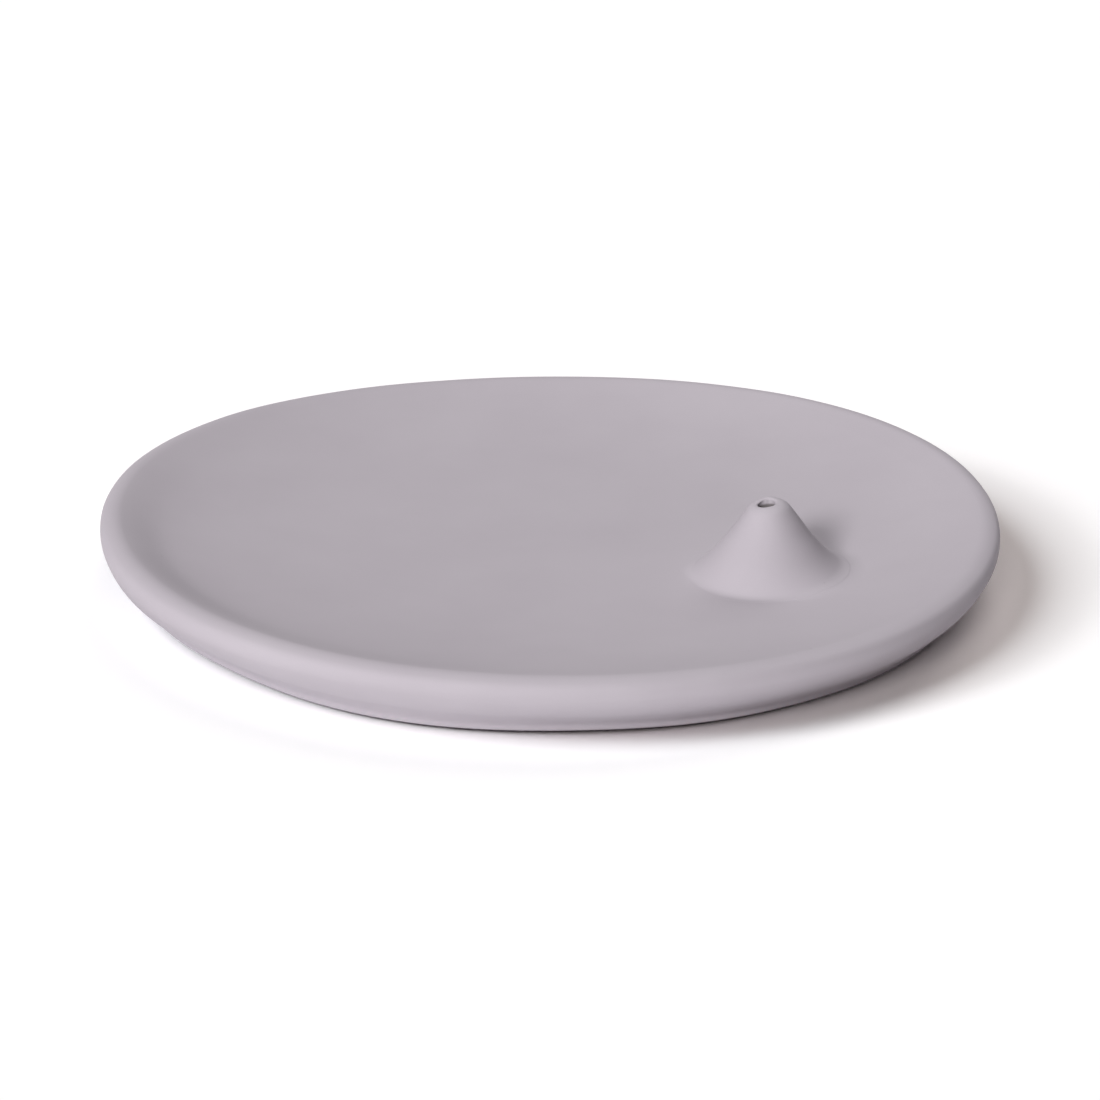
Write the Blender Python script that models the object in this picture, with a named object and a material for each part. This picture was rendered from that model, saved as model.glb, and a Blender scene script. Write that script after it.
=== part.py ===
"""Round incense plate in unglazed ceramic.

A thick hand-pressed dish with a rolled rim carries a small cone, luted into a seat near
its edge and pierced for one stick of incense. The dish stands on four low rubber feet
in a shallow hollow underneath. Metres, +Z up, the table at Z = 0, the viewer at -Y.
"""
from math import atan2, cos, hypot, pi, radians, sin, tan

import bmesh
import bpy

# Dish: overall radius, floor and underside
plate_radius = 0.0700
floor_thickness = 0.0052
standing_gap = 0.0005
underside_hollow = 0.0010
base_ring_width = 0.0060
base_corner_round = 0.0008
hollow_step_run = 0.0012

# Well: the floor is flat in the middle and climbs as a power of the radius
lip_slope = radians(16.5)
well_power = 3.8

# Rolled rim: four arcs, from the lip of the well over the crest and down the outside
rim_inner_round = 0.0033
rim_crest_round = 0.0015
rim_outer_round = 0.0034
rim_under_round = 0.0088
crest_turn = radians(-30)
outer_turn = radians(-75)
under_turn = radians(-110)
wall_slope = radians(41)

# Hand forming: how the rim rises and dips, and how far in from it the floor stays calm
saddle_lift = 0.0007
saddle_direction = radians(12)
three_wave_lift = 0.0005
three_wave_direction = radians(33)
calm_radius = 0.0210
forming_fade = 0.0420

# Cone: pierced crown, straight flank, flared skirt and rounded foot edge
cone_across = 0.0335
cone_towards_viewer = 0.0154
stick_hole_radius = 0.00135
stick_hole_depth = 0.0110
hole_edge_round = 0.0003
crown_fall = radians(12)
crown_round = 0.0029
flank_slope = radians(56)
flank_length = 0.0036
skirt_round = 0.0290
skirt_slope = radians(37)
foot_edge_round = 0.0006
foot_edge_height = 0.0004
foot_chamfer = 0.0004

# The hole was pierced off centre, and the crown is higher on the side away from it
hole_offset = 0.00065
crown_tilt = radians(9)

# Seat of the cone, sunk into the floor of the well
seat_depth = 0.0018
seat_gap = 0.0003

# Rubber feet
rubber_radius = 0.0050
rubber_edge_round = 0.0004
rubber_inset = 0.0030
rubber_glue_gap = 0.0003
rubber_turn = radians(45)

# Fineness of the turned shapes
floor_pieces = 12
arc_pieces = 5
skirt_pieces = 7
small_arc_pieces = 3
dish_steps = 96
cone_steps = 48
rubber_steps = 24


def arc(start, radius, heading_from, heading_to, pieces):
    """Points along an arc that leaves start at one heading and ends at another."""
    turn = 1 if heading_to > heading_from else -1
    points = []
    for step in range(1, pieces + 1):
        heading = heading_from + (heading_to - heading_from) * step / pieces
        across = turn * radius * (sin(heading) - sin(heading_from))
        upwards = turn * radius * (cos(heading_from) - cos(heading))
        points.append((start[0] + across, start[1] + upwards))
    return points


def rolled_rim():
    """Section of the rim, starting from the lip of the well at (0, 0)."""
    points = [(0.0, 0.0)]
    points += arc(points[-1], rim_inner_round, lip_slope, crest_turn, arc_pieces)
    points += arc(points[-1], rim_crest_round, crest_turn, outer_turn, arc_pieces)
    points += arc(points[-1], rim_outer_round, outer_turn, under_turn, arc_pieces)
    points += arc(points[-1], rim_under_round, under_turn, wall_slope - pi, arc_pieces)
    return points


# Heights and radii that follow from the sizes above
rim_points = rolled_rim()
lip_radius = plate_radius - max(point[0] for point in rim_points)
well_depth = tan(lip_slope) * lip_radius / well_power
floor_height = standing_gap + floor_thickness
lip_height = floor_height + well_depth
crest_height = lip_height + max(point[1] for point in rim_points)
seat_height = floor_height - seat_depth
hollow_roof = standing_gap + underside_hollow


def well_height(radius):
    """Height of the well's floor before hand forming."""
    return floor_height + well_depth * (radius / lip_radius) ** well_power


def lift(x, y, z):
    """Rise or dip of the clay: none at the base and mid floor, all of it at the crest."""
    angle = atan2(y, x)
    saddle = saddle_lift * cos(2 * (angle - saddle_direction))
    three = three_wave_lift * cos(3 * (angle - three_wave_direction))
    outward = min(max((hypot(x, y) - calm_radius) / forming_fade, 0.0), 1.0)
    upward = min(max((z - standing_gap) / (crest_height - standing_gap), 0.0), 1.0)
    return (saddle + three) * outward ** 2 * upward


def hand_formed(x, y, z):
    """A point of the true turned dish, moved to where hand forming leaves it."""
    return x, y, z + lift(x, y, z)


def dish_top(x, y):
    """Height of the finished floor at a place in the dish."""
    height = well_height(hypot(x, y))
    return height + lift(x, y, height)


def dish_section():
    """Half section of the dish, from the middle of the well round to the middle below."""
    points = []
    for step in range(floor_pieces):
        radius = lip_radius * (1 - (1 - step / floor_pieces) ** 1.5)
        points.append((radius, well_height(radius)))
    points += [(lip_radius + across, lip_height + up) for across, up in rim_points]

    # Straight outer wall down to a small round above the flat base ring
    corner = arc((0.0, 0.0), base_corner_round, wall_slope - pi, -pi, small_arc_pieces)
    wall_top = points[-1]
    wall_foot_height = standing_gap - corner[-1][1]
    wall_foot = (wall_top[0] - (wall_top[1] - wall_foot_height) / tan(wall_slope), wall_foot_height)
    points.append(wall_foot)
    points += [(wall_foot[0] + across, wall_foot[1] + up) for across, up in corner]

    # Base ring and the shallow hollow inside it
    ring_inner = points[-1][0] - base_ring_width
    hollow_radius = ring_inner - hollow_step_run
    points.append((ring_inner, standing_gap))
    points.append((hollow_radius, hollow_roof))
    points.append((hollow_radius / 2, hollow_roof))
    points.append((0.0, hollow_roof))
    return points, hollow_radius


def cone_section():
    """Half section of the cone above its floor, from the bottom of the hole to the foot.

    With it come the radii where the crown and the skirt start.
    """
    hole = [(0.0, -stick_hole_depth), (stick_hole_radius, -stick_hole_depth)]
    hole.append((stick_hole_radius, -hole_edge_round))
    hole += arc(hole[-1], hole_edge_round, pi / 2, 0.0, small_arc_pieces)
    crown = arc(hole[-1], crown_round, -crown_fall, -flank_slope, arc_pieces)
    flank_run = flank_length * cos(flank_slope)
    flank_fall = flank_length * sin(flank_slope)
    flank = [(crown[-1][0] + flank_run, crown[-1][1] - flank_fall)]
    skirt = arc(flank[-1], skirt_round, -flank_slope, -skirt_slope, skirt_pieces)
    foot = arc(skirt[-1], foot_edge_round, -skirt_slope, -pi / 2, small_arc_pieces)
    tip_height = foot_edge_height - foot[-1][1]
    points = hole + crown + flank + skirt + foot
    section = [(radius, height + tip_height) for radius, height in points]
    return section, hole[-1][0], flank[-1][0]


def turned(name, section, steps, place=None):
    """Closed body turned from a half section; place moves each point once it is turned."""
    mesh = bmesh.new()
    points = [mesh.verts.new((radius, 0.0, height)) for radius, height in section]
    edges = [mesh.edges.new(pair) for pair in zip(points[:-1], points[1:])]
    bmesh.ops.spin(
        mesh,
        geom=points + edges,
        cent=(0.0, 0.0, 0.0),
        axis=(0.0, 0.0, 1.0),
        angle=2 * pi,
        steps=steps,
        use_merge=True,
    )
    bmesh.ops.remove_doubles(mesh, verts=mesh.verts, dist=0.000002)
    if place:
        for vert in mesh.verts:
            vert.co = place(*vert.co)
    bmesh.ops.recalc_face_normals(mesh, faces=mesh.faces)
    data = bpy.data.meshes.new(name)
    mesh.to_mesh(data)
    mesh.free()
    data.shade_smooth()
    data.set_sharp_from_angle(angle=radians(35))
    piece = bpy.data.objects.new(name, data)
    bpy.context.collection.objects.link(piece)
    return piece


def finish(name, colour, roughness):
    """Principled material of one finish."""
    material = bpy.data.materials.new(name)
    material.use_nodes = True
    shader = material.node_tree.nodes["Principled BSDF"]
    shader.inputs["Base Color"].default_value = (*colour, 1.0)
    shader.inputs["Roughness"].default_value = roughness
    shader.inputs["Metallic"].default_value = 0.0
    return material


def make_dish(section, foot_radius):
    """Pressed dish with its rolled rim, underside hollow and the seat for the cone."""
    dish = turned("dish", section, dish_steps, hand_formed)
    dish.data.materials.append(finish("dish_clay", (0.46, 0.42, 0.46), 0.85))

    # The seat is cut straight down through the floor, a gap wider than the cone's foot
    seat_radius = foot_radius + seat_gap
    above_floor = crest_height - seat_height
    seat_section = ((0.0, above_floor), (seat_radius, above_floor), (seat_radius, 0.0), (0.0, 0.0))
    cutter = turned("cone_seat_cutter", seat_section, cone_steps)
    cutter.location = (cone_across, -cone_towards_viewer, seat_height)
    cutter.hide_render = True
    cutter.display_type = "WIRE"
    seat = dish.modifiers.new("cone seat", "BOOLEAN")
    seat.operation = "DIFFERENCE"
    seat.solver = "EXACT"
    seat.object = cutter


def fade(value, full, none):
    """1 up to full, then falling evenly to 0 at none and beyond."""
    return min(max((none - value) / (none - full), 0.0), 1.0)


def make_cone(section, crown_start, skirt_start):
    """Cone with its stick hole; its skirt follows the floor and its foot fills the seat."""
    foot_radius = section[-1][0]
    floor_at_cone = dish_top(cone_across, -cone_towards_viewer)
    underside = seat_height + seat_gap
    profile = [(radius, floor_at_cone + height) for radius, height in section]
    profile.append((foot_radius, underside + foot_chamfer))
    profile.append((foot_radius - foot_chamfer, underside))
    profile.append((0.0, underside))

    def seated(x, y, z):
        if z < floor_at_cone:
            return x, y, z
        radius = hypot(x, y)
        pierced = fade(radius, crown_start, skirt_start)
        outward = 1 - fade(radius, skirt_start, foot_radius)
        tilted = tan(crown_tilt) * x * pierced
        rise = dish_top(cone_across + x, y - cone_towards_viewer) - floor_at_cone
        followed = rise * outward ** 2 * (3 - 2 * outward)
        return x - hole_offset * pierced, y, z + tilted + followed

    cone = turned("stick_cone", profile, cone_steps, seated)
    cone.location = (cone_across, -cone_towards_viewer, 0.0)
    cone.data.materials.append(finish("cone_clay", (0.47, 0.43, 0.47), 0.85))


def make_feet(hollow_radius):
    """Four self-adhesive rubber feet, stuck in the hollow and standing just proud of it."""
    height = hollow_roof - rubber_glue_gap
    section = [(0.0, height), (rubber_radius, height), (rubber_radius, rubber_edge_round)]
    section += arc(section[-1], rubber_edge_round, -pi / 2, -pi, small_arc_pieces)
    section.append((0.0, 0.0))
    rubber = finish("foot_rubber", (0.12, 0.115, 0.12), 0.6)
    spread = hollow_radius - rubber_inset - rubber_radius
    names = ("foot_back_right", "foot_back_left", "foot_front_left", "foot_front_right")
    for index, name in enumerate(names):
        angle = rubber_turn + index * pi / 2
        foot = turned(name, section, rubber_steps)
        foot.location = (spread * cos(angle), spread * sin(angle), 0.0)
        foot.data.materials.append(rubber)


def make_plate():
    """The whole plate, in an emptied scene."""
    for thing in list(bpy.data.objects):
        bpy.data.objects.remove(thing, do_unlink=True)
    dish_profile, hollow_radius = dish_section()
    cone_profile, crown_start, skirt_start = cone_section()
    make_dish(dish_profile, cone_profile[-1][0])
    make_cone(cone_profile, crown_start, skirt_start)
    make_feet(hollow_radius)


make_plate()
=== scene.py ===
"""Incense plate in unglazed, mauve-grey stoneware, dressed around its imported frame.

Sections: dish, stick cone, rubber feet, table, lamps, camera.
"""
from math import atan2, cos, degrees, exp, hypot, pi, radians, sin, sqrt, tan

import bpy
from mathutils import Matrix, Vector, noise


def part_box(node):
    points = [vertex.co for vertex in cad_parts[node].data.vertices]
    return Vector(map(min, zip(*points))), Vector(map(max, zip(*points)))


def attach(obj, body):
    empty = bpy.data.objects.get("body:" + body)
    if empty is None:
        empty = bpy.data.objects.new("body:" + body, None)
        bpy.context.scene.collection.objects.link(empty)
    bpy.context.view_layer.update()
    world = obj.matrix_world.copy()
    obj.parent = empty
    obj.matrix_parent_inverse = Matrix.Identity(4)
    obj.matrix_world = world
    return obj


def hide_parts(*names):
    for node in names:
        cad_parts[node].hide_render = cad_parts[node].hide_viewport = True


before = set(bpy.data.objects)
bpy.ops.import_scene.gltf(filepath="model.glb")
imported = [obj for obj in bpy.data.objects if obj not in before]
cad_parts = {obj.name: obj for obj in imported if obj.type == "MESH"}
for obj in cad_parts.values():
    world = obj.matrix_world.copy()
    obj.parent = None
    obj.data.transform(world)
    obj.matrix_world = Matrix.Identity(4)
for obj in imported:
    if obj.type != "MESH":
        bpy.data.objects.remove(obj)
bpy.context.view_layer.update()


# ---- The dish ----
# A thick round of stoneware, pressed by hand over a form, its rim rolled outwards with the
# thumb and its foot cut on the wheel. The floor carries the slipped-on fillet round the cone,
# so the cone's place and skirt are settled here too.

dish_radius = 0.0700
table_gap = 0.0005
floor_thickness = 0.0052
seat_depth = 0.0018
hollow_depth = 0.0010
foot_ring_width = 0.0060
arris_round = 0.0007
hollow_step = 0.0012

lip_slope = radians(16.5)
well_power = 3.8

# The rolled rim: radius of each round, the heading at which it ends, and how many points it gets
wall_slope = radians(41)
rim_rounds = (
    (0.0033, radians(-30), 8),
    (0.0015, radians(-75), 8),
    (0.0034, radians(-110), 8),
    (0.0088, wall_slope - pi, 12),
)
foot_slope = radians(62)
foot_kick = 0.0007

# How the maker's hands left the rim: a saddle, a three-lobed wave, and thumb ripples
saddle_rise = 0.0007
saddle_bearing = radians(12)
lobe_rise = 0.0005
lobe_bearing = radians(33)
back_rise = 0.0002
back_bearing = radians(76)
back_spread = radians(32)
calm_floor = 0.0210
forming_run = 0.0420
thumb_ripple = 0.00004
thumb_spacing = 0.0130
thumb_peak = 0.6

# Between which heights the ripples come in: sideways above the foot, and upwards at the crest
ripple_out = (0.0012, 0.0030)
ripple_up = (0.0080, 0.0100)

# The hollow that the thumb pressed inside the lip, at the left, and how far it pushed up the lip;
# outside, the push dies away down to groove_wall
groove_depth = 0.00042
groove_lip = 0.00036
groove_bearing = radians(202)
groove_spread = radians(32)
groove_start = 0.0460
groove_bottom = 0.0600
groove_end = 0.0667
groove_wall = 0.0040

# Where the foot ring was trimmed close, by bearing: swell, bearing, spread; and the heights
# between which the trimming runs out
trims = (
    (-0.0012, radians(-138), radians(17)),
    (-0.0010, radians(-86), radians(16)),
    (-0.0004, radians(-56), radians(12)),
)
trim_heights = (0.0015, 0.0080)

# The cone's place on the floor, and its skirt from the flank outwards
cone_centre = Vector((0.0335, -0.0154))
skirt_start = 0.005464
skirt_curl = 0.0290
skirt_reach = 0.0200
flank_slope = radians(56)
skirt_height = 0.00782
cone_foot = 0.0123

# The fillet of slip at the skirt's edge: crisp to the left and front, between these bearings in
# degrees, and wiped smooth elsewhere, widest at the back right
crisp_fillet = 0.00070
crisp_start = (160, 192)
crisp_end = (262, 300)
wiped_fillet = 0.0011
wiped_extra = 0.0005
wiped_bearing = radians(20)

# Where the skirt's edge was drawn in, by bearing: distance, bearing, spread
drawn_start = 0.0065
drawn_all_round = 0.0003
drawn_in = (
    (0.0018, radians(205), radians(46)),
    (0.0012, radians(265), radians(42)),
    (0.0006, radians(-15), radians(32)),
)

# Where the skirt's edge was left thick, at the back left, and at which radii
thick_edge = 0.0003
thick_bearing = radians(162)
thick_spread = radians(32)
thick_full = 0.0100
thick_edge_fall = (0.0112, 0.0124)

# Each loop of a skin has a point at each of these bearings
columns = 288
bearings = [2 * pi * column / columns for column in range(columns)]


def round_off(start, radius, heading, end_heading, steps):
    """Points along one rounding of a section, as a template would trace it."""
    side = 1 if end_heading > heading else -1
    points = []
    for step in range(1, steps + 1):
        here = heading + (end_heading - heading) * step / steps
        across = side * radius * (sin(here) - sin(heading))
        up = side * radius * (cos(heading) - cos(here))
        points.append((start[0] + across, start[1] + up))
    return points


rim = [(0.0, 0.0)]
rim_heading = lip_slope
for rim_radius, rim_end, rim_steps in rim_rounds:
    rim += round_off(rim[-1], rim_radius, rim_heading, rim_end, rim_steps)
    rim_heading = rim_end

lip_radius = dish_radius - max(point[0] for point in rim)
well_depth = tan(lip_slope) * lip_radius / well_power
floor_level = table_gap + floor_thickness
lip_level = floor_level + well_depth
crest = max(rim, key=lambda point: point[1])
crest_level = lip_level + crest[1]
crest_radius = lip_radius + crest[0]


def fade(value, start, end):
    """Smooth change from 0 at start to 1 at end."""
    share = min(max((value - start) / (end - start), 0.0), 1.0)
    return share * share * (3 - 2 * share)


def lobe(bearing, middle, width):
    """Soft bump round the plate: 1 at the middle bearing, fading over the width."""
    turned = (bearing - middle + pi) % (2 * pi) - pi
    return exp(-(turned / width) ** 2)


def hand_lift(x, y, z):
    """How far the hands raised or sank the clay here: nothing at the foot, all at the crest."""
    bearing = atan2(y, x)
    saddle = saddle_rise * cos(2 * (bearing - saddle_bearing))
    lobes = lobe_rise * cos(3 * (bearing - lobe_bearing))
    back = back_rise * lobe(bearing, back_bearing, back_spread)
    outward = min(max((hypot(x, y) - calm_floor) / forming_run, 0.0), 1.0)
    upward = min(max((z - table_gap) / (crest_level - table_gap), 0.0), 1.0)
    return (saddle + lobes + back) * outward ** 2 * upward


def ripple(x, y, z):
    """Faint unevenness of a surface smoothed with a wet thumb, never standing proud."""
    place = Vector((x, y, z)) / thumb_spacing
    return thumb_ripple * (noise.noise(place) - thumb_peak)


def groove(x, y):
    """Depth of the thumb's hollow here: slowly down from the floor, quickly up to the crest."""
    out = hypot(x, y)
    dip = groove_depth * fade(out, groove_start, groove_bottom)
    climb = (groove_depth + groove_lip) * fade(out, groove_bottom, groove_end)
    return (dip - climb) * lobe(atan2(y, x), groove_bearing, groove_spread)


def well_floor(x, y):
    """Height of the well's floor without the cone."""
    level = floor_level + well_depth * (hypot(x, y) / lip_radius) ** well_power
    return level + hand_lift(x, y, level) - groove(x, y)


def crispness(bearing):
    """How sharply the skirt meets the floor here: 1 where it is crisp, 0 where it is wiped."""
    turned = degrees(bearing) % 360
    return fade(turned, *crisp_start) * (1 - fade(turned, *crisp_end))


def skirt_above_floor(radius):
    """Height of the cone's skirt over the floor, following its hollow curl to nothing."""
    centre_x = skirt_start + skirt_curl * sin(flank_slope)
    inside = skirt_curl ** 2 - (centre_x - radius) ** 2
    return skirt_height + skirt_curl * cos(flank_slope) - sqrt(max(inside, 0.0))


def meeting(upper, reach):
    """Height over the floor where slip fills the corner between a surface and the floor."""
    overlap = max(reach - abs(upper), 0.0)
    return max(upper, 0.0) + overlap ** 2 / (4 * reach)


def cone_over_floor(radius, bearing):
    """Height of the skirt and its joint over the floor, round the cone and beyond its foot."""
    drawn = drawn_all_round
    for distance, middle, width in drawn_in:
        drawn += distance * lobe(bearing, middle, width)
    drawn *= fade(radius, drawn_start, cone_foot)
    skirt = skirt_above_floor(min(radius + drawn, skirt_start + skirt_reach))
    thick = fade(radius, drawn_start, thick_full) * (1 - fade(radius, *thick_edge_fall))
    skirt += thick_edge * thick * lobe(bearing, thick_bearing, thick_spread)
    crisp = meeting(skirt, crisp_fillet)
    wiped_reach = wiped_fillet + wiped_extra * fade(cos(bearing - wiped_bearing), 0.0, 1.0)
    wiped = meeting(skirt, wiped_reach)
    sharp = crispness(bearing)
    return sharp * crisp + (1 - sharp) * wiped


def trim(x, y, z):
    """How far the foot swells out here: less than nothing where it was trimmed close."""
    bearing = atan2(y, x)
    swell = 0.0
    for amount, middle, width in trims:
        swell += amount * lobe(bearing, middle, width)
    return swell * (1 - fade(z, *trim_heights))


# Loops of points from the bottom of the cone's seat, over the floor and the rim, to the
# middle of the underside
seat_level = floor_level - seat_depth
seat_rings = (0.35, 0.7, 1.0)
dish_loops = []
for share in seat_rings:
    loop = []
    for bearing in bearings:
        point = cone_centre + Vector((cos(bearing), sin(bearing))) * cone_foot * share
        loop.append((point.x, point.y, seat_level))
    dish_loops.append(loop)

floor_rings = 104
ring_power = 1.6
still_rings = 6
for ring in range(floor_rings):
    share = (ring / floor_rings) ** ring_power
    centre = cone_centre * (1 - share)
    radius = cone_foot * (1 - share) + lip_radius * share
    loop = []
    for bearing in bearings:
        x = centre.x + radius * cos(bearing)
        y = centre.y + radius * sin(bearing)
        settled = fade(ring, 0, still_rings)
        out = Vector((x, y)) - cone_centre
        joint = cone_over_floor(out.length, atan2(out.y, out.x))
        z = well_floor(x, y) + joint + settled * ripple(x, y, floor_level)
        loop.append((x, y, z))
    dish_loops.append(loop)

section = [(lip_radius + across, lip_level + up) for across, up in rim]
arris = round_off((0.0, 0.0), arris_round, foot_slope - pi, -pi, 6)
wall_top = section[-1]
wall_end = table_gap - arris[-1][1]
wall_run = (wall_top[1] - wall_end) / tan(wall_slope)
wall_steps = 12
for step in range(1, wall_steps + 1):
    share = step / wall_steps
    fallen = wall_top[1] + (wall_end - wall_top[1]) * share
    kicked = foot_kick * max(2 * share - 1, 0.0) ** 2
    section.append((wall_top[0] - wall_run * share + kicked, fallen))
wall_foot = section[-1]
section += [(wall_foot[0] + across, wall_foot[1] + up) for across, up in arris]
ring_outer = section[-1][0]
ring_inner = ring_outer - foot_ring_width
hollow_roof = table_gap + hollow_depth
for share in (0.33, 0.67, 0.97):
    section.append((ring_outer - foot_ring_width * share, table_gap))
hollow_edge = len(section)
for share in (0.0, 0.25, 0.5, 0.75, 1.0):
    fall = fade(share, 0.0, 1.0)
    section.append((ring_inner - hollow_step * share, table_gap + hollow_depth * fall))
hollow_radius = section[-1][0]
hollow_rings = 36
for ring in range(1, hollow_rings):
    section.append((hollow_radius * (1 - ring / hollow_rings), hollow_roof))

for row, (radius, level) in enumerate(section):
    loop = []
    for bearing in bearings:
        x = radius * cos(bearing)
        y = radius * sin(bearing)
        pushed = 1.0 if radius < crest_radius else fade(level, groove_wall, crest_level)
        z = level + hand_lift(x, y, level)
        z -= groove(x, y) * pushed
        if row < hollow_edge:
            out = trim(x, y, level) + ripple(x, y, level) * fade(level, *ripple_out)
            x += out * cos(bearing)
            y += out * sin(bearing)
            z += ripple(x, y, level) * fade(level, *ripple_up)
        loop.append((x, y, z))
    dish_loops.append(loop)


crease_angle = radians(38)


def closed_body(name, loops, first_middle, last_middle):
    """One closed skin through the loops, capped with a fan at each end."""
    points = [first_middle] + [point for loop in loops for point in loop] + [last_middle]
    faces = []
    for column in range(columns):
        following = (column + 1) % columns
        faces.append((0, 1 + following, 1 + column))
        for row in range(len(loops) - 1):
            near = 1 + row * columns
            far = near + columns
            faces.append((near + column, near + following, far + following, far + column))
        last = 1 + (len(loops) - 1) * columns
        faces.append((last + column, last + following, len(points) - 1))
    mesh = bpy.data.meshes.new(name)
    mesh.from_pydata(points, [], faces)
    mesh.shade_smooth()
    mesh.set_sharp_from_angle(angle=crease_angle)
    body = bpy.data.objects.new(name, mesh)
    bpy.context.collection.objects.link(body)
    return body


dish = closed_body(
    "dish_body",
    dish_loops,
    (cone_centre.x, cone_centre.y, seat_level),
    (0.0, 0.0, hollow_roof),
)

# Fired clay: a fine even body with a little mottling from the kiln, scattered pinholes painted dark with
# painted shade in the pits, and the grain of fine sand. Used for the dish and for the cone.
stoneware = (0.45, 0.41, 0.45, 1.0)
pale_stoneware = (0.47, 0.43, 0.47, 1.0)
usual_noise = (0.3, 0.7)
grain_contrast = 0.12
pinhole_share = 0.45
largest_pinhole = 0.030
pinhole_edge = 0.014
pinhole_shade = 0.6
pinhole_depth = 0.00006
grain_relief = 0.000012
smooth_roughness = 0.80
grain_roughness = 0.10
clay_gloss = 0.25

clay = bpy.data.node_groups.new("fired clay", "ShaderNodeTree")
for socket, kind, value in (
    ("Body Colour", "NodeSocketColor", stoneware),
    ("Pale Colour", "NodeSocketColor", pale_stoneware),
    ("Pit Shade Colour", "NodeSocketColor", (0.22, 0.19, 0.20, 1.0)),
    ("Mottle Size", "NodeSocketFloat", 0.018),
    ("Grain Size", "NodeSocketFloat", 0.00035),
    ("Pinhole Spacing", "NodeSocketFloat", 0.0042),
):
    clay.interface.new_socket(name=socket, in_out="INPUT", socket_type=kind).default_value = value
clay.interface.new_socket(name="Colour", in_out="OUTPUT", socket_type="NodeSocketColor")
clay.interface.new_socket(name="Roughness", in_out="OUTPUT", socket_type="NodeSocketFloat")
clay.interface.new_socket(name="Height", in_out="OUTPUT", socket_type="NodeSocketFloat")


def node(tree, kind, **settings):
    """A node with its settings."""
    made = tree.nodes.new(kind)
    for setting, value in settings.items():
        setattr(made, setting, value)
    return made


def calculate(tree, operation, first, second=None, third=None):
    """A Math node fed by sockets or plain numbers."""
    made = node(tree, "ShaderNodeMath", operation=operation)
    for index, value in enumerate((first, second, third)):
        if isinstance(value, bpy.types.NodeSocket):
            tree.links.new(value, made.inputs[index])
        elif value is not None:
            made.inputs[index].default_value = value
    return made.outputs[0]


def blend(tree, share, first, second):
    """A colour between two others."""
    made = node(tree, "ShaderNodeMix", data_type="RGBA")
    for index, value in ((0, share), (6, first), (7, second)):
        socket = made.inputs[index]
        if isinstance(value, bpy.types.NodeSocket):
            tree.links.new(value, socket)
        else:
            socket.default_value = value
    return made.outputs[2]


def spread(tree, value, low, high, new_low=0.0, new_high=1.0):
    """A value stretched from one range to another, and held inside it."""
    made = node(tree, "ShaderNodeMapRange", clamp=True)
    tree.links.new(value, made.inputs[0])
    for index, bound in enumerate((low, high, new_low, new_high), 1):
        made.inputs[index].default_value = bound
    return made.outputs[0]


def sized_noise(tree, place, size, detail=2.0, roughness=0.5):
    """Noise whose features are as large as size, in metres."""
    made = node(tree, "ShaderNodeTexNoise", noise_dimensions="3D")
    tree.links.new(place, made.inputs["Vector"])
    if isinstance(size, bpy.types.NodeSocket):
        tree.links.new(calculate(tree, "DIVIDE", 1.0, size), made.inputs["Scale"])
    else:
        made.inputs["Scale"].default_value = 1 / size
    made.inputs["Detail"].default_value = detail
    made.inputs["Roughness"].default_value = roughness
    return made.outputs["Fac"]


entry = node(clay, "NodeGroupInput").outputs
place = node(clay, "ShaderNodeTexCoord").outputs["Object"]
mottle = spread(clay, sized_noise(clay, place, entry["Mottle Size"], 3.0), *usual_noise)
grain = sized_noise(clay, place, entry["Grain Size"], 3.0, 0.6)
grain_tone = spread(clay, grain, *usual_noise, -grain_contrast, grain_contrast)
body_tone = calculate(clay, "ADD", mottle, grain_tone)
body_colour = blend(clay, body_tone, entry["Body Colour"], entry["Pale Colour"])

pores = node(clay, "ShaderNodeTexVoronoi", feature="F1", voronoi_dimensions="3D")
clay.links.new(place, pores.inputs["Vector"])
clay.links.new(calculate(clay, "DIVIDE", 1.0, entry["Pinhole Spacing"]), pores.inputs["Scale"])
pore_lot = node(clay, "ShaderNodeSeparateColor")
clay.links.new(pores.outputs["Color"], pore_lot.inputs[0])
pore_size = spread(clay, pore_lot.outputs[0], 1 - pinhole_share, 1.0, 0.0, largest_pinhole)
pore_room = calculate(clay, "SUBTRACT", pore_size, pores.outputs["Distance"])
pore = spread(clay, pore_room, 0.0, pinhole_edge)
# Each pinhole is painted towards the pit colour: painted shade in the pits
pore_shade = calculate(clay, "MULTIPLY", pore, pinhole_shade)
clay_colour = blend(clay, pore_shade, body_colour, entry["Pit Shade Colour"])

clay_roughness = calculate(clay, "MULTIPLY_ADD", grain, grain_roughness, smooth_roughness)
grain_height = calculate(clay, "MULTIPLY", grain, grain_relief)
clay_height = calculate(clay, "MULTIPLY_ADD", pore, -pinhole_depth, grain_height)
leave = node(clay, "NodeGroupOutput").inputs
clay.links.new(clay_colour, leave["Colour"])
clay.links.new(clay_roughness, leave["Roughness"])
clay.links.new(clay_height, leave["Height"])


def clay_finish(name, body, pale):
    """Unglazed clay of one tone."""
    material = bpy.data.materials.new(name)
    material.use_nodes = True
    tree = material.node_tree
    shader = tree.nodes["Principled BSDF"]
    fired = node(tree, "ShaderNodeGroup", name="fired clay", node_tree=clay)
    fired.inputs["Body Colour"].default_value = body
    fired.inputs["Pale Colour"].default_value = pale
    relief = node(tree, "ShaderNodeBump")
    relief.inputs["Strength"].default_value = 1.0
    relief.inputs["Distance"].default_value = 1.0
    tree.links.new(fired.outputs["Height"], relief.inputs["Height"])
    tree.links.new(fired.outputs["Colour"], shader.inputs["Base Color"])
    tree.links.new(fired.outputs["Roughness"], shader.inputs["Roughness"])
    tree.links.new(relief.outputs["Normal"], shader.inputs["Normal"])
    shader.inputs["Specular IOR Level"].default_value = clay_gloss
    return material


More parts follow.
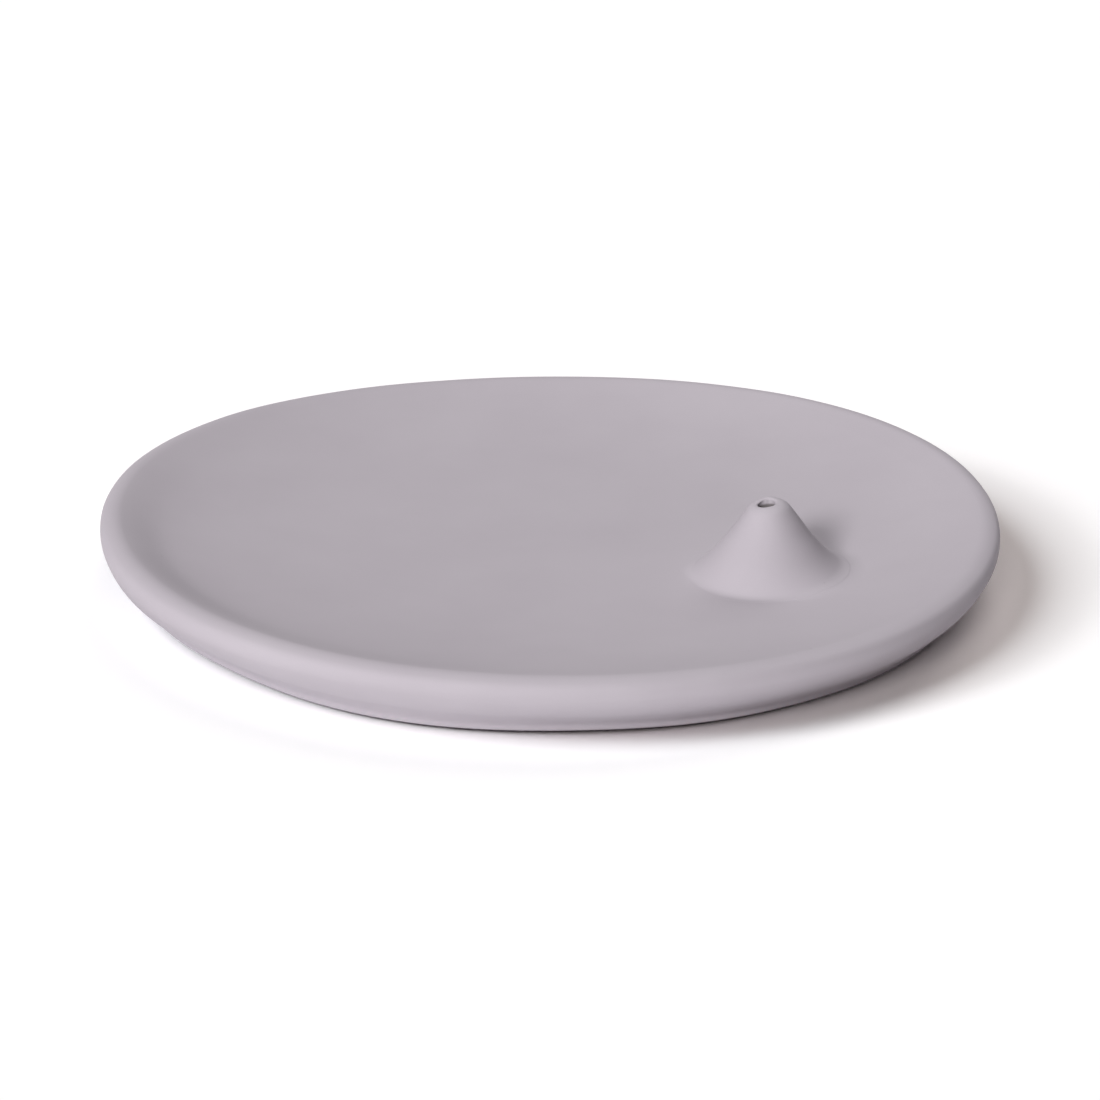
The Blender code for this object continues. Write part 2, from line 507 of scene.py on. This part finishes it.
dish_clay = clay_finish("dish stoneware", stoneware, pale_stoneware)
dish.data.materials.append(dish_clay)
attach(dish, "root")
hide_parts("dish")


# ---- The stick cone ----
# A small cone of the same clay, thrown off the hump, set into a seat in the floor with slip and
# pierced with a skewer while soft. The skewer went in to the left of the middle and towards the
# front, and left the tip higher on the right.

cone_underside_gap = 0.0003
hole_radius = 0.00135
hole_depth = 0.0110
mouth_round = 0.0003
crown_fall = radians(12)
crown_round = 0.0029
flank_length = 0.0036
mouth_offset = Vector((0.00065, 0.00055))
mouth_tilt = radians(9)
mouth_sink = 0.00024
back_lip = 0.00042
back_lip_bearing = radians(85)
back_lip_spread = radians(55)

# The skewer's torn edge: how much of the radius, how finely, how deep in the bore one tear runs,
# and the radius at which it is wiped out
tear = 0.05
tear_fineness = 1.7
tear_run = 0.0040
tear_end = 0.0024

tip_section = [(hole_radius, -mouth_round)]
tip_section += round_off(tip_section[-1], mouth_round, pi / 2, 0.0, 6)
mouth_edge = tip_section[-1][0]
tip_section += round_off(tip_section[-1], crown_round, -crown_fall, -flank_slope, 12)
flank_top = tip_section[-1]
flank_steps = 8
for step in range(1, flank_steps + 1):
    along = flank_length * step / flank_steps
    across, down = along * cos(flank_slope), along * sin(flank_slope)
    tip_section.append((flank_top[0] + across, flank_top[1] - down))

cone_floor = well_floor(cone_centre.x, cone_centre.y)
tip_level = cone_floor + skirt_height - tip_section[-1][1]


def leant(x, y, z):
    """A point of the true cone, moved to where the skewer left it."""
    loose = 1 - min(max((hypot(x, y) - mouth_edge) / (skirt_start - mouth_edge), 0.0), 1.0)
    up = z + tan(mouth_tilt) * x * loose - mouth_sink * loose ** 5
    up += back_lip * loose ** 2 * lobe(atan2(y, x), back_lip_bearing, back_lip_spread)
    return cone_centre.x + x - mouth_offset.x * loose, cone_centre.y + y - mouth_offset.y * loose, up


cone_loops = []
bore_steps = 8
for step in range(bore_steps + 1):
    level = tip_level - hole_depth + (hole_depth - mouth_round) * step / bore_steps
    loop = []
    for bearing in bearings:
        place = Vector((cos(bearing), sin(bearing), level / tear_run))
        radius = hole_radius * (1 + tear * noise.noise(place * tear_fineness))
        loop.append(leant(radius * cos(bearing), radius * sin(bearing), level))
    cone_loops.append(loop)
for radius, level in tip_section[1:]:
    loop = []
    for bearing in bearings:
        place = Vector((cos(bearing), sin(bearing), 0.0))
        unwiped = 1 - fade(radius, mouth_edge, tear_end)
        torn = radius * (1 + tear * noise.noise(place * tear_fineness) * unwiped)
        loop.append(leant(torn * cos(bearing), torn * sin(bearing), tip_level + level))
    cone_loops.append(loop)

skirt_steps = 30
skirt_power = 0.85
for step in range(1, skirt_steps + 1):
    radius = skirt_start + (cone_foot - skirt_start) * (step / (skirt_steps + 1)) ** skirt_power
    loop = []
    for bearing in bearings:
        x = cone_centre.x + radius * cos(bearing)
        y = cone_centre.y + radius * sin(bearing)
        outward = fade(radius, skirt_start, cone_foot)
        level = cone_floor + (well_floor(x, y) - cone_floor) * outward
        loop.append((x, y, level + cone_over_floor(radius, bearing)))
    cone_loops.append(loop)

# Down from the seam that the skirt shares with the floor, just inside the seat's wall
seam = dish_loops[len(seat_rings)]
cone_loops.append(seam)
for inset, drop in ((0.00015, 0.0006), (0.0002, 0.0015)):
    loop = []
    for x, y, z in seam:
        out = (Vector((x, y)) - cone_centre).normalized()
        loop.append((x - out.x * inset, y - out.y * inset, z - drop))
    cone_loops.append(loop)
underside = seat_level + cone_underside_gap
for share in (0.97, 0.6, 0.3):
    loop = []
    for bearing in bearings:
        point = cone_centre + Vector((cos(bearing), sin(bearing))) * cone_foot * share
        loop.append((point.x, point.y, underside))
    cone_loops.append(loop)

bore_floor = leant(0.0, 0.0, tip_level - hole_depth)
cone = closed_body("cone_body", cone_loops, bore_floor, (cone_centre.x, cone_centre.y, underside))
cone_clay = clay_finish("cone stoneware", stoneware, pale_stoneware)

# Below its lip the bore's wall is painted dark: painted shade deep in the hole, where the lip keeps out
# the lamps
bore_shade_colour = (0.170, 0.152, 0.157, 1.0)
bore_shade_start = 0.00040
bore_shade_full = 0.00070
bore_wall = (0.00145, 0.00155)
cone_tree = cone_clay.node_tree
cone_place = node(cone_tree, "ShaderNodeSeparateXYZ")
cone_tree.links.new(node(cone_tree, "ShaderNodeTexCoord").outputs["Object"], cone_place.inputs[0])
bore_x = calculate(cone_tree, "SUBTRACT", cone_place.outputs[0], cone_centre.x - mouth_offset.x)
bore_y = calculate(cone_tree, "SUBTRACT", cone_place.outputs[1], cone_centre.y - mouth_offset.y)
bore_out = calculate(cone_tree, "MULTIPLY", bore_y, bore_y)
bore_out = calculate(cone_tree, "MULTIPLY_ADD", bore_x, bore_x, bore_out)
bore_out = calculate(cone_tree, "SQRT", bore_out)
in_bore = spread(cone_tree, bore_out, *bore_wall, 1.0, 0.0)
lip_plane = calculate(cone_tree, "MULTIPLY_ADD", bore_x, tan(mouth_tilt), tip_level - mouth_sink)
bore_depth = calculate(cone_tree, "SUBTRACT", lip_plane, cone_place.outputs[2])
deep_enough = spread(cone_tree, bore_depth, bore_shade_start, bore_shade_full)
bore_shade = calculate(cone_tree, "MULTIPLY", deep_enough, in_bore)
cone_tree.links.new(
    blend(cone_tree, bore_shade, cone_tree.nodes["fired clay"].outputs["Colour"], bore_shade_colour),
    cone_tree.nodes["Principled BSDF"].inputs["Base Color"],
)
cone.data.materials.append(cone_clay)
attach(cone, "root")
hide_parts("stick_cone")


# ---- The rubber feet ----
# Four self-adhesive bumpers of dark grey rubber, stuck in the hollow underneath so that the
# fired clay doesn't scratch the table. Each is moulded, with a soft edge and a thin glue layer.

rubber_colour = (0.030, 0.029, 0.031, 1.0)
dusty_rubber = (0.055, 0.052, 0.054, 1.0)
rubber_pebble = 0.0004
rubber_relief_depth = 0.00003
rubber_roughness = (0.50, 0.70)
dust_patch = 0.003
dust_noise = (0.45, 0.75)
bumper_edge = 0.0004
bumper_chamfer = 0.0001
glue_inset = 0.00025
glue_step = 0.00002

rubber = bpy.data.materials.new("bumper rubber")
rubber.use_nodes = True
rubber_tree = rubber.node_tree
rubber_shader = rubber_tree.nodes["Principled BSDF"]
rubber_place = node(rubber_tree, "ShaderNodeTexCoord").outputs["Object"]
rubber_grain = sized_noise(rubber_tree, rubber_place, rubber_pebble, 3.0)
rubber_dust = spread(rubber_tree, sized_noise(rubber_tree, rubber_place, dust_patch, 4.0), *dust_noise)
rubber_tree.links.new(
    blend(rubber_tree, rubber_dust, rubber_colour, dusty_rubber), rubber_shader.inputs["Base Color"]
)
rubber_tree.links.new(
    spread(rubber_tree, rubber_grain, *usual_noise, *rubber_roughness), rubber_shader.inputs["Roughness"]
)
rubber_relief = node(rubber_tree, "ShaderNodeBump")
rubber_relief.inputs["Distance"].default_value = rubber_relief_depth
rubber_tree.links.new(rubber_grain, rubber_relief.inputs["Height"])
rubber_tree.links.new(rubber_relief.outputs["Normal"], rubber_shader.inputs["Normal"])

bumpers = []
for foot_name in ("foot_back_right", "foot_back_left", "foot_front_left", "foot_front_right"):
    low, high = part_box(foot_name)
    middle = (low + high) / 2
    bumper_radius = (high.x - low.x) / 2
    glue_top = hollow_roof - glue_step
    outline = [(bumper_radius * 0.35, 0.0), (bumper_radius * 0.7, 0.0)]
    outline.append((bumper_radius - bumper_edge, 0.0))
    outline += round_off(outline[-1], bumper_edge, 0.0, pi / 2, 6)
    outline.append((bumper_radius, high.z - bumper_chamfer))
    outline.append((bumper_radius - bumper_chamfer, high.z))
    outline.append((bumper_radius - glue_inset, high.z + glue_step))
    outline.append((bumper_radius - glue_inset, glue_top))
    outline.append((bumper_radius * 0.5, glue_top))
    loops = []
    for radius, level in outline:
        loop = []
        for bearing in bearings:
            loop.append((middle.x + radius * cos(bearing), middle.y - radius * sin(bearing), level))
        loops.append(loop)
    bumper = closed_body(
        foot_name + "_bumper", loops, (middle.x, middle.y, 0.0), (middle.x, middle.y, glue_top)
    )
    bumper.data.materials.append(rubber)
    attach(bumper, "root")
    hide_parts(foot_name)
    bumpers.append(bumper)


# ---- The table ----
# A sheet of plain white paper, wide enough to fill the view from any side, which isn't part of
# the object and catches its soft shadow. To the camera its colour is a little over white, so that
# it runs out to white, and the light that it throws on the plate is that of common paper.

paper_half = 3.0
paper_colour = (0.94, 0.93, 0.925, 1.0)
paper_seen_colour = (1.092, 1.071, 1.064, 1.0)
paper_mesh = bpy.data.meshes.new("paper")
corners = ((-1, -1), (1, -1), (1, 1), (-1, 1))
paper_mesh.from_pydata([(paper_half * x, paper_half * y, 0.0) for x, y in corners], [], [(0, 1, 2, 3)])
paper = bpy.data.objects.new("paper", paper_mesh)
bpy.context.collection.objects.link(paper)
white = bpy.data.materials.new("white paper")
white.use_nodes = True
white_shader = white.node_tree.nodes["Principled BSDF"]
white_shader.inputs["Base Color"].default_value = paper_colour
white_shader.inputs["Roughness"].default_value = 0.9
white_shader.inputs["Specular IOR Level"].default_value = 0.1
white_tree = white.node_tree
bright_paper = node(white_tree, "ShaderNodeBsdfDiffuse")
bright_paper.inputs["Color"].default_value = paper_seen_colour
paper_ray = node(white_tree, "ShaderNodeLightPath").outputs
paper_seen = calculate(white_tree, "ADD", paper_ray["Is Camera Ray"], paper_ray["Is Glossy Ray"])
paper_seen = calculate(white_tree, "ADD", paper_seen, paper_ray["Is Transmission Ray"])
paper_mix = node(white_tree, "ShaderNodeMixShader")
white_tree.links.new(paper_seen, paper_mix.inputs[0])
white_tree.links.new(white_shader.outputs[0], paper_mix.inputs[1])
white_tree.links.new(bright_paper.outputs[0], paper_mix.inputs[2])
white_tree.links.new(paper_mix.outputs[0], white_tree.nodes["Material Output"].inputs[0])
paper_mesh.materials.append(white)


# ---- The lamps ----
# Distant soft lamps in a dim pale room, those on the paper cooler from the left than from the
# back and front. The plate and the paper are each linked to their own lamps: the plate's key
# stands at the front left, low down, and the paper's at the left.

lit_plate = bpy.data.collections.new("lit plate")
for piece in [dish, cone] + bumpers:
    lit_plate.objects.link(piece)
lit_paper = bpy.data.collections.new("lit paper")
lit_paper.objects.link(paper)

room_strength = 0.02
neutral = (1.0, 1.0, 1.0)
cool = (0.93, 0.97, 1.0)
warm = (1.0, 0.92, 0.90)


def sun(name, lit, bearing, elevation, strength, softness, colour):
    """A distant soft lamp on one collection; bearing and elevation say where it stands."""
    lamp = bpy.data.lights.new(name, "SUN")
    lamp.energy = strength
    lamp.angle = radians(softness)
    lamp.color = colour
    holder = bpy.data.objects.new(name, lamp)
    towards = Vector((
        cos(radians(elevation)) * cos(radians(bearing)),
        cos(radians(elevation)) * sin(radians(bearing)),
        sin(radians(elevation)),
    ))
    holder.location = towards
    holder.rotation_euler = towards.to_track_quat("Z", "Y").to_euler()
    holder.light_linking.receiver_collection = lit
    bpy.context.collection.objects.link(holder)


sun("plate key", lit_plate, 245, 26, 2.80, 14, neutral)
sun("plate left", lit_plate, 185, 58, 1.00, 14, neutral)
sun("plate back", lit_plate, 67, 42, 1.05, 36, neutral)
sun("paper left", lit_paper, 202, 42, 2.40, 36, cool)
sun("paper low left", lit_paper, 200, 26, 1.00, 14, cool)
sun("paper back", lit_paper, 67, 42, 0.80, 36, warm)
sun("paper front", lit_paper, 270, 45, 0.70, 36, warm)

room = bpy.data.worlds.new("pale room")
bpy.context.scene.world = room
room.use_nodes = True
room_tree = room.node_tree
room_tree.nodes.clear()
room_light = node(room_tree, "ShaderNodeBackground")
room_light.inputs["Strength"].default_value = room_strength
room_white = node(room_tree, "ShaderNodeBackground")
room_white.inputs["Color"].default_value = (1.0, 1.0, 1.0, 1.0)
room_ray = node(room_tree, "ShaderNodeLightPath").outputs
seen = calculate(room_tree, "ADD", room_ray["Is Camera Ray"], room_ray["Is Glossy Ray"])
seen = calculate(room_tree, "ADD", seen, room_ray["Is Transmission Ray"])
room_mix = node(room_tree, "ShaderNodeMixShader")
room_tree.links.new(seen, room_mix.inputs[0])
room_tree.links.new(room_light.outputs[0], room_mix.inputs[1])
room_tree.links.new(room_white.outputs[0], room_mix.inputs[2])
room_out = node(room_tree, "ShaderNodeOutputWorld")
room_tree.links.new(room_mix.outputs[0], room_out.inputs[0])


# ---- The camera ----
# At the photograph's angle, 20.6 degrees above the table in front of the plate, with a long lens.
# It looks a little below the aim point and is turned by half a degree.

camera_elevation = radians(20.62)
camera_distance = 0.630
aim_height = 0.007
below_aim = radians(0.2505)
camera_roll = radians(0.52)
lens_data = bpy.data.cameras.new("camera")
lens_data.sensor_fit = "HORIZONTAL"
lens_data.sensor_width = 36.0
lens_data.lens = 131.73
lens_data.clip_start = 0.01
camera = bpy.data.objects.new("camera", lens_data)
stand = Vector((
    0.0,
    -camera_distance * cos(camera_elevation),
    camera_distance * sin(camera_elevation) + aim_height,
))
camera.matrix_world = (
    Matrix.Translation(stand)
    @ Matrix.Rotation(pi / 2 - camera_elevation - below_aim, 4, "X")
    @ Matrix.Rotation(camera_roll, 4, "Z")
)
bpy.context.collection.objects.link(camera)
bpy.context.scene.camera = camera
bpy.context.scene.view_settings.view_transform = "Standard"
